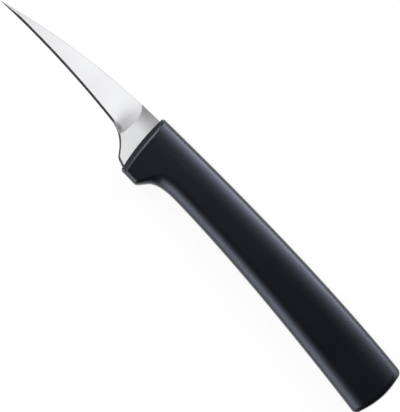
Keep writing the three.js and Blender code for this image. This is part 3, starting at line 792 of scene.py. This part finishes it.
    corners = node("ShaderNodeMath", {0: corners, 1: math.cos(SECTION_LEAN)}, operation="MULTIPLY")
    corners = node("ShaderNodeMath", {0: size["Crown"], 1: 2.0, 2: corners}, operation="MULTIPLY_ADD")
    tall = node("ShaderNodeMath", {0: top, 1: low}, operation="SUBTRACT")
    flat = node("ShaderNodeMath", {0: tall, 1: corners}, operation="SUBTRACT")
    low_bow = node("ShaderNodeMath", {0: low_flat, 1: low_flat}, operation="MULTIPLY")
    top_bow = node("ShaderNodeMath", {0: top_flat, 1: top_flat}, operation="MULTIPLY")
    bow = node("ShaderNodeMath", {0: low_bow, 1: top_bow}, operation="SUBTRACT")
    bow = node("ShaderNodeMath", {0: bow, 1: 1.0}, operation="ADD")
    height = node("ShaderNodeMath", {0: bow, 1: size["Crown"]}, operation="MULTIPLY")
    low_curve = node("ShaderNodeMath", {0: math.cos(SECTION_LEAN), 1: low_cosine}, operation="SUBTRACT")
    height = node("ShaderNodeMath", {0: low_curve, 1: low_rise, 2: height}, operation="MULTIPLY_ADD")
    height = node("ShaderNodeMath", {0: land, 1: flat, 2: height}, operation="MULTIPLY_ADD")
    height = node("ShaderNodeMath", {0: top_sine, 1: top_rise, 2: height}, operation="MULTIPLY_ADD")

    # On the end faces the section closes to a middle line.
    width = node("ShaderNodeMath", {0: width, 1: opened}, operation="MULTIPLY")

    # Both end faces lean, and bulge in side view and in top view.
    # The front's bulge in top view is gone at the guard's end.
    share = node("ShaderNodeMath", {0: height, 1: tall}, operation="DIVIDE")
    front_level = node("ShaderNodeMapRange", {"Value": share, "To Min": guard, "To Max": size["Front Top"]})
    butt_level = node(
        "ShaderNodeMapRange", {"Value": share, "To Min": size["Butt Bottom"], "To Max": size["Butt Top"]}
    )
    offset = node("ShaderNodeMath", {0: front_level, 1: lean}, operation="MULTIPLY")
    share = node("ShaderNodeMath", {0: share, 1: 2.0, 2: -1.0}, operation="MULTIPLY_ADD")
    share = node("ShaderNodeMath", {0: share, 1: share}, operation="MULTIPLY")
    side_share = node("ShaderNodeMath", {0: width, 1: half}, operation="DIVIDE")
    side_share = node("ShaderNodeMath", {0: side_share, 1: side_share}, operation="MULTIPLY")
    bulge = node(
        "ShaderNodeMapRange",
        {"Value": station, "From Max": size["Guard End"], "To Min": 1.0, "To Max": 0.0},
        interpolation_type="SMOOTHSTEP",
    )
    bulge = node("ShaderNodeMath", {0: bulge, 1: bulge}, operation="MULTIPLY")
    bulge = node("ShaderNodeMath", {0: bulge, 1: size["Front Round"]}, operation="MULTIPLY")
    front = node("ShaderNodeMath", {0: share, 1: size["Front Crown"]}, operation="MULTIPLY")
    front = node("ShaderNodeMath", {0: side_share, 1: bulge, 2: front}, operation="MULTIPLY_ADD")
    front = node("ShaderNodeMath", {0: front, 1: offset}, operation="SUBTRACT")
    butt = node("ShaderNodeMath", {0: share, 1: size["Butt Crown"]}, operation="MULTIPLY")
    butt = node("ShaderNodeMath", {0: side_share, 1: size["Butt Round"], 2: butt}, operation="MULTIPLY_ADD")
    butt = node("ShaderNodeMath", {0: size["Handle Length"], 1: butt}, operation="SUBTRACT")
    butt = node("ShaderNodeMath", {0: butt_level, 1: butt_lean, 2: butt}, operation="MULTIPLY_ADD")
    x = node("ShaderNodeMapRange", {"Value": length_share, "To Min": front, "To Max": butt})
    y = node("ShaderNodeMath", {0: low, 1: height}, operation="ADD")
    z = node("ShaderNodeMath", {0: width, 1: side}, operation="MULTIPLY")
    z = node("ShaderNodeMath", {0: z, 1: -1.0}, operation="MULTIPLY")
    point = node("ShaderNodeCombineXYZ", {0: x, 1: y, 2: z})
    point = node(
        "ShaderNodeVectorMath", {0: point, 1: (MM, MM, MM), 2: size["Origin"]}, operation="MULTIPLY_ADD"
    )
    matt = node("FunctionNodeCompare", {0: front_face, 1: 1.0}, operation="LESS_THAN")
    skin = node(
        "GeometryNodeStoreNamedAttribute",
        {"Geometry": grid, "Name": "matt", "Value": matt},
        data_type="FLOAT",
        domain="FACE",
    )
    skin = node("GeometryNodeSetPosition", {"Geometry": skin, "Position": point})
    skin = node("GeometryNodeMergeByDistance", {"Geometry": skin, "Distance": MERGE_DISTANCE * MM})
    skin = node("GeometryNodeSetShadeSmooth", {"Geometry": skin})
    skin = node("GeometryNodeRealizeInstances", {"Geometry": skin})
    skin = node("GeometryNodeSetMaterial", {"Geometry": skin, "Material": size["Plastic"]})
    node("NodeGroupOutput", {"Mesh": skin})
    return tree


def handle_solid(plastic):
    """Handle as the loft leaves it, before the steel's seat is cut."""
    tree = handle_tree()
    piece = shown("moulded_grip", bpy.data.meshes.new("moulded_grip"))
    loft = piece.modifiers.new("loft", "NODES")
    loft.node_group = tree
    inputs = {s.name: s.identifier for s in tree.interface.items_tree if s.in_out == "INPUT"}
    for name, value in HANDLE.items():
        loft[inputs[name]] = value
    loft[inputs["Origin"]] = ORIGIN
    loft[inputs["Plastic"]] = plastic
    empty = piece.data
    piece.data = evaluated_mesh(piece, "moulded_grip")
    piece.modifiers.remove(loft)
    bpy.data.meshes.remove(empty)
    return piece


def tang_axis():
    """Level of the tang, midway between the back and the belly where the handle is slimmest."""
    slimmest = (HANDLE["Guard End"] + HANDLE["Belly Turn X"]) / 2
    back = bezier(
        (0, HANDLE["Front Top"]),
        (HANDLE["Back Turn X"], HANDLE["Back Turn Y"]),
        (HANDLE["Handle Length"], HANDLE["Butt Top"]),
    )
    rise = (HANDLE["Guard Drop"] - HANDLE["Belly Drop"]) / math.tan(HANDLE["Guard Slope"])
    belly = bezier(
        (HANDLE["Guard End"] + rise + HANDLE["Recess Run"], -HANDLE["Belly Drop"]),
        (HANDLE["Belly Turn X"], -HANDLE["Belly Drop"]),
        (HANDLE["Handle Length"], HANDLE["Butt Bottom"]),
    )
    return (np.interp(slimmest, *back.T) + np.interp(slimmest, *belly.T)) / 2


# Pieces

BLADE_STEPS = 36  # steps up each side of the blade
SEAT_STEPS = 16  # the same on the cut for it in the handle
BLADE_CREASE = math.radians(8)  # least angle that stays a sharp edge
GRIP_CREASE = math.radians(30)

steel = ground_stainless_steel()
polypropylene = moulded_polypropylene()
axis = tang_axis()
fine_end = -BLADE_LENGTH + 4 * BEVEL_WIDTH
plunge_start = -PLUNGE_SETBACK - PLUNGE_RAMP
# Stretches along the blade: start, end and number of cross lines
blade_rows = [
    (-BLADE_LENGTH, fine_end, 24),
    (fine_end, plunge_start, 110),
    (plunge_start, -PLUNGE_SETBACK, 60),
    (-PLUNGE_SETBACK, NECK_SEAT, 60),
]
blade = steel_solid("ground_blade", -BLADE_LENGTH, blade_rows, BLADE_STEPS, axis)
blade.data.materials.clear()
blade.data.materials.append(steel)
mark_finish(blade.data)
blade.data.shade_smooth()
blade.data.set_sharp_from_angle(angle=BLADE_CREASE)
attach(blade, "root")
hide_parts("blade_with_tang")

seat_rows = [(-PLUNGE_SETBACK, NECK_SEAT, 40), (NECK_SEAT, NECK_SEAT + TANG_CLEARANCE, 2)]
seat = steel_solid("tang_seat", -PLUNGE_SETBACK / 2, seat_rows, SEAT_STEPS, axis, TANG_CLEARANCE)
grip = handle_solid(polypropylene)
cut_out(grip, seat)
grip.data.shade_smooth()
grip.data.set_sharp_from_angle(angle=GRIP_CREASE)
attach(grip, "root")
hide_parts("moulded_handle")

# Studio

PAPER_GLOW = 1.08
PAPER_GLOW_SHARE = 0.8  # the rest of the paper is matt and takes the shadow
PAPER_REACH = 6.0  # metres from the knife to each wall
PAPER_WALL = 1.0  # metres
FLOOR_GAP = 0.02  # mm under the knife
AIR_STRENGTH = 0.02


def floor_paper():
    """White studio paper: matt, lit from behind enough to read as white, with the knife's shadow left."""
    material = bpy.data.materials.new("white_studio_paper")
    material.use_nodes = True
    tree = material.node_tree
    node = partial(add, tree)
    tree.nodes.remove(tree.nodes["Principled BSDF"])
    ray = node("ShaderNodeLightPath").node.outputs
    seen = node("ShaderNodeMath", {0: ray["Is Camera Ray"], 1: ray["Is Glossy Ray"]}, operation="MAXIMUM")
    seen = node("ShaderNodeMath", {0: seen, 1: ray["Is Transmission Ray"]}, operation="MAXIMUM")
    share = node("ShaderNodeMath", {0: seen, 1: PAPER_GLOW_SHARE}, operation="MULTIPLY")
    paper = node("ShaderNodeBsdfDiffuse", {"Color": linear("#F2F2F2")})
    glow = node("ShaderNodeEmission", {"Color": linear("#FFFFFF"), "Strength": PAPER_GLOW})
    both = node("ShaderNodeMixShader", {0: share, 1: paper, 2: glow})
    tree.links.new(both, tree.nodes["Material Output"].inputs["Surface"])
    return material


def floor_sheet(paper):
    """Paper under the knife, and a low wall of it far away, so that low views have it behind them."""
    reach = PAPER_REACH
    level = cad_low.z - FLOOR_GAP * MM
    rim = [(reach, -reach), (reach, reach), (-reach, reach), (-reach, -reach)]
    points = [(x, y, level) for x, y in rim] + [(x, y, level + PAPER_WALL) for x, y in rim]
    walls = [(i, i + 4, (i + 1) % 4 + 4, (i + 1) % 4) for i in range(4)]
    mesh = bpy.data.meshes.new("studio_floor")
    mesh.from_pydata(points, [], [(0, 1, 2, 3)] + walls)
    mesh.materials.append(paper)
    floor = shown("studio_floor", mesh)
    return floor


def lit_by(name, *pieces):
    """Collection of the pieces that a group of lamps lights."""
    group = bpy.data.collections.new(name)
    for piece in pieces:
        group.objects.link(piece)
    return group


def softbox(lit, name, zenith, azimuth, width, height, radiance):
    """Area lamp a metre away that faces the middle of the knife and lights the pieces of one collection.

    zenith is its angle from straight up, and azimuth its angle round from the butt by way of the back.
    """
    lamp = bpy.data.lights.new(name, "AREA")
    lamp.shape = "RECTANGLE"
    lamp.size, lamp.size_y = width, height
    lamp.energy = radiance * math.pi * width * height
    made = shown(name, lamp)
    made.light_linking.receiver_collection = lit
    tilt, turn = math.radians(zenith), math.radians(azimuth)
    made.location = (math.sin(tilt) * math.cos(turn), math.sin(tilt) * math.sin(turn), math.cos(tilt))
    made.rotation_euler = (-made.location).to_track_quat("-Z", "Y").to_euler()


def studio_air():
    """A little light from all round."""
    world = bpy.data.worlds.new("studio_air")
    bpy.context.scene.world = world
    world.use_nodes = True
    fill = world.node_tree.nodes["Background"]
    fill.inputs["Color"].default_value = linear("#FFFFFF")
    fill.inputs["Strength"].default_value = AIR_STRENGTH


floor = floor_sheet(floor_paper())
studio_air()

# The handle and the blade have lamps of their own. The handle needs bright strips along its back and belly,
# which the blade would mirror in low views and so vanish into the white.
handle_light = lit_by("handle_light", grip, floor)
blade_light = lit_by("blade_light", blade, floor)
softbox(handle_light, "handle_softbox", zenith=9, azimuth=135, width=0.14, height=0.14, radiance=3.7)
softbox(handle_light, "tip_strip", zenith=77, azimuth=180, width=0.45, height=0.36, radiance=7.4)
softbox(handle_light, "back_strip_top", zenith=20, azimuth=90, width=0.21, height=0.21, radiance=1.2)
softbox(handle_light, "back_strip_high", zenith=34, azimuth=90, width=0.28, height=0.28, radiance=2.3)
softbox(handle_light, "back_strip_middle", zenith=52, azimuth=90, width=0.35, height=0.35, radiance=5.6)
softbox(handle_light, "back_strip_low", zenith=75, azimuth=90, width=0.43, height=0.43, radiance=10.5)
softbox(handle_light, "butt_strip_low", zenith=75, azimuth=60, width=0.43, height=0.43, radiance=4.2)
softbox(handle_light, "belly_strip_high", zenith=34, azimuth=270, width=0.28, height=0.28, radiance=2.4)
softbox(handle_light, "belly_strip_middle", zenith=52, azimuth=270, width=0.35, height=0.35, radiance=6.9)
softbox(handle_light, "belly_strip_low", zenith=75, azimuth=270, width=0.43, height=0.43, radiance=4.5)
softbox(blade_light, "blade_softbox", zenith=9, azimuth=225, width=0.14, height=0.14, radiance=6.4)
softbox(blade_light, "blade_softbox_belly", zenith=9, azimuth=270, width=0.14, height=0.14, radiance=2.2)
softbox(blade_light, "blade_softbox_butt", zenith=9, azimuth=315, width=0.14, height=0.14, radiance=2.0)
softbox(blade_light, "blade_softbox_tip", zenith=20, azimuth=180, width=0.21, height=0.21, radiance=1.6)
softbox(blade_light, "blade_strip", zenith=0, azimuth=0, width=4.0, height=0.95, radiance=0.33)

# Camera straight above, turned so that the knife lies as in the photograph.
PIXEL = 0.3275  # mm on the plane of the blade
IMAGE_HEIGHT = 412  # pixels, the image's longer side
FOCAL_PIXELS = 2400
TURN = math.radians(46)
CENTRE = (28.52, 0.255)  # X and Y of the point in the middle of the image
camera = bpy.data.cameras.new("camera")
camera.lens = camera.sensor_width * FOCAL_PIXELS / IMAGE_HEIGHT
eye = shown("camera", camera)
eye.location = ORIGIN + Vector((CENTRE[0], CENTRE[1], FOCAL_PIXELS * PIXEL)) * MM
eye.rotation_euler = (0, 0, TURN)
bpy.context.scene.camera = eye
bpy.context.scene.view_settings.view_transform = "Standard"
